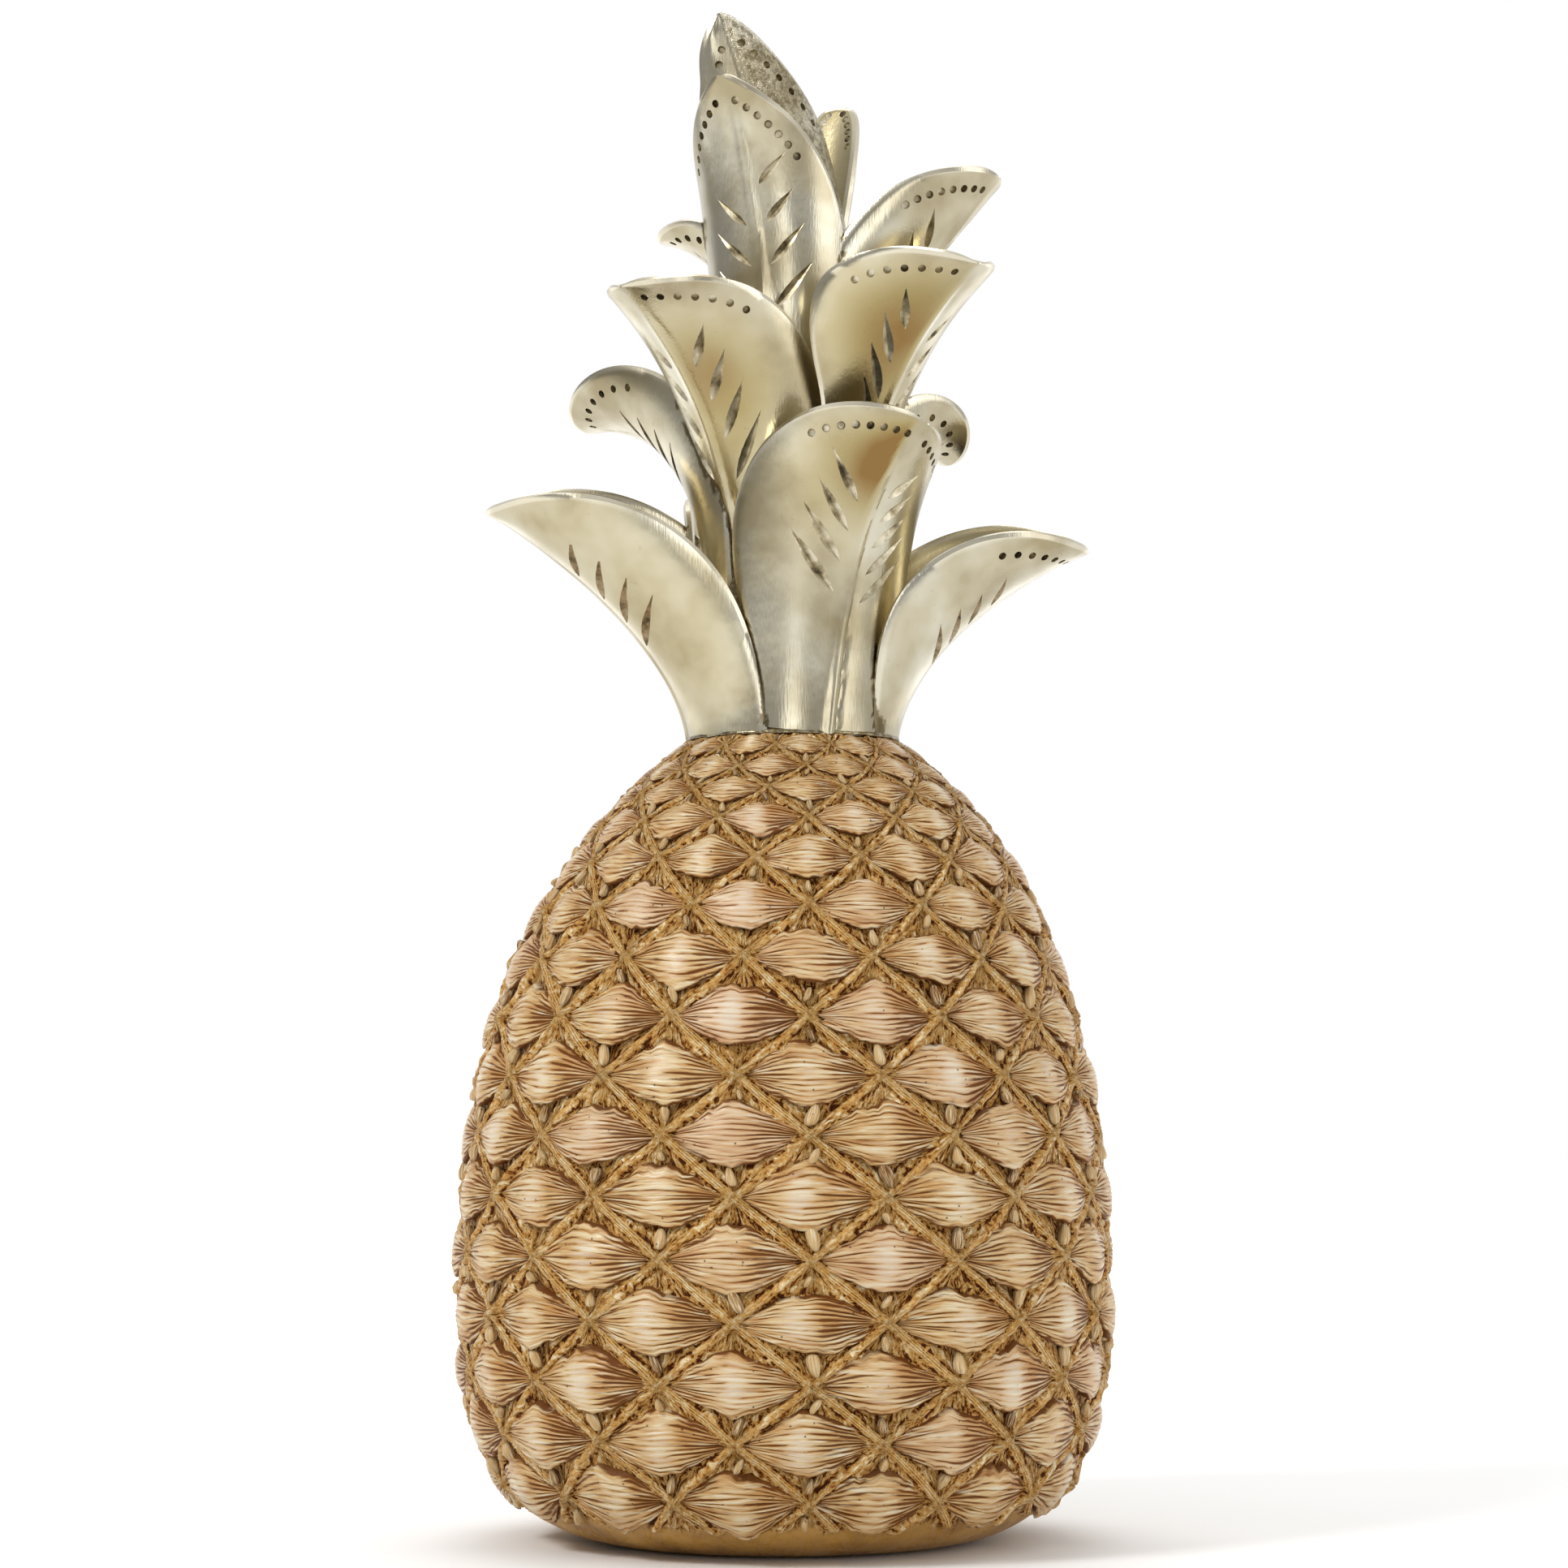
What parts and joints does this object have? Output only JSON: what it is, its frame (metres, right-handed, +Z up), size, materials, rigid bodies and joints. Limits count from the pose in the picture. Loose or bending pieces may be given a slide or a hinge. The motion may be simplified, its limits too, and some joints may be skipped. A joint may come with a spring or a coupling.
{
  "type": "pineapple sculpture",
  "caption": "Standing pineapple ornament: a rounded fruit with a woven-looking tan skin under a crown of curling silver leaves.",
  "frame": {"origin": "middle of the flat underside of the fruit, on the surface that the sculpture stands on", "axes": "+Z up through the crown, -Y out of the front, +X to the right seen from the front"},
  "size_m": [0.1832, 0.1834, 0.4278],
  "materials": {
    "painted_resin": "cast resin painted tan with a dark antique wash, satin",
    "silver_leaf": "cast resin covered with champagne silver leaf, polished on the high places"
  },
  "bodies": {
    "root": {"fruit": "painted_resin", "crown": "silver_leaf"}
  },
  "joints": []
}
